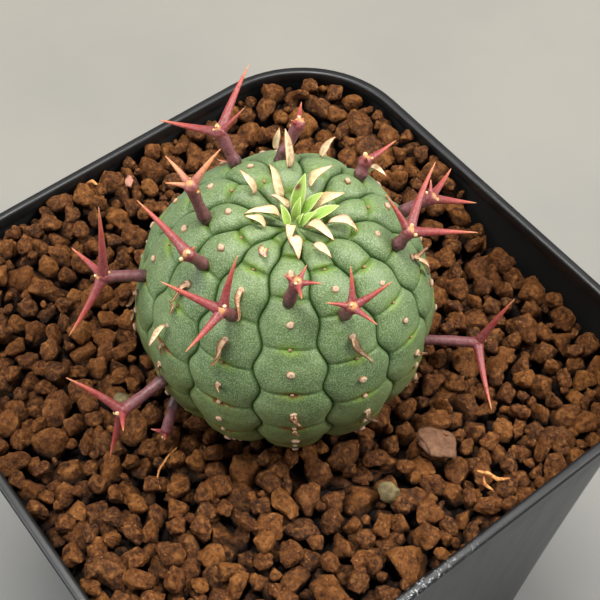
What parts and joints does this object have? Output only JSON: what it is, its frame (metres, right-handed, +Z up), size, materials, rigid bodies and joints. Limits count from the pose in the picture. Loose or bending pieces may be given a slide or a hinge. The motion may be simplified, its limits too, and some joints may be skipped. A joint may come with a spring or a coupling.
{
  "type": "potted euphorbia",
  "caption": "Globe-shaped ribbed euphorbia with forked woody spines and a small leaf rosette, standing in clay grains in a square tapered nursery pot.",
  "frame": {"origin": "middle of the pot's underside, on the surface it stands on", "axes": "+Z up; the pot's four sides lie along X and Y; the soil falls towards +Y and is banked against the -X wall and the -X end of the +Y wall"},
  "size_m": [0.09, 0.09, 0.1173],
  "materials": {
    "pot": "satin black polypropylene",
    "soil": "porous fired clay grains",
    "skin": "waxy glaucous green skin",
    "spine": "purple-red wood with tan tips",
    "leaf": "fresh yellow-green leaf",
    "dry_leaf": "dry tan leaf"
  },
  "bodies": {
    "root": {"pot": "pot", "soil": "soil", "stem": "skin", "spine_01": "spine", "spine_02": "spine", "spine_03": "spine", "spine_04": "spine", "spine_05": "spine", "spine_06": "spine", "spine_07": "spine", "spine_08": "spine", "spine_09": "spine", "spine_10": "spine", "spine_11": "spine", "spine_12": "spine", "spine_13": "spine", "spine_14": "spine", "spine_15": "spine", "spine_16": "spine", "spine_17": "spine", "leaf_01": "leaf", "leaf_02": "leaf", "leaf_03": "leaf", "leaf_04": "leaf", "leaf_05": "leaf", "leaf_06": "leaf", "leaf_07": "leaf", "dry_leaf_01": "dry_leaf", "dry_leaf_02": "dry_leaf", "dry_leaf_03": "dry_leaf", "dry_leaf_04": "dry_leaf", "dry_leaf_05": "dry_leaf", "dry_leaf_06": "dry_leaf", "dry_leaf_07": "dry_leaf", "dry_leaf_08": "dry_leaf", "dry_leaf_09": "dry_leaf", "dry_leaf_10": "dry_leaf", "dry_leaf_11": "dry_leaf", "dry_leaf_12": "dry_leaf", "dry_leaf_13": "dry_leaf", "dry_leaf_14": "dry_leaf", "dry_leaf_15": "dry_leaf", "dry_leaf_16": "dry_leaf", "dry_leaf_17": "dry_leaf", "dry_leaf_18": "dry_leaf"}
  },
  "joints": []
}
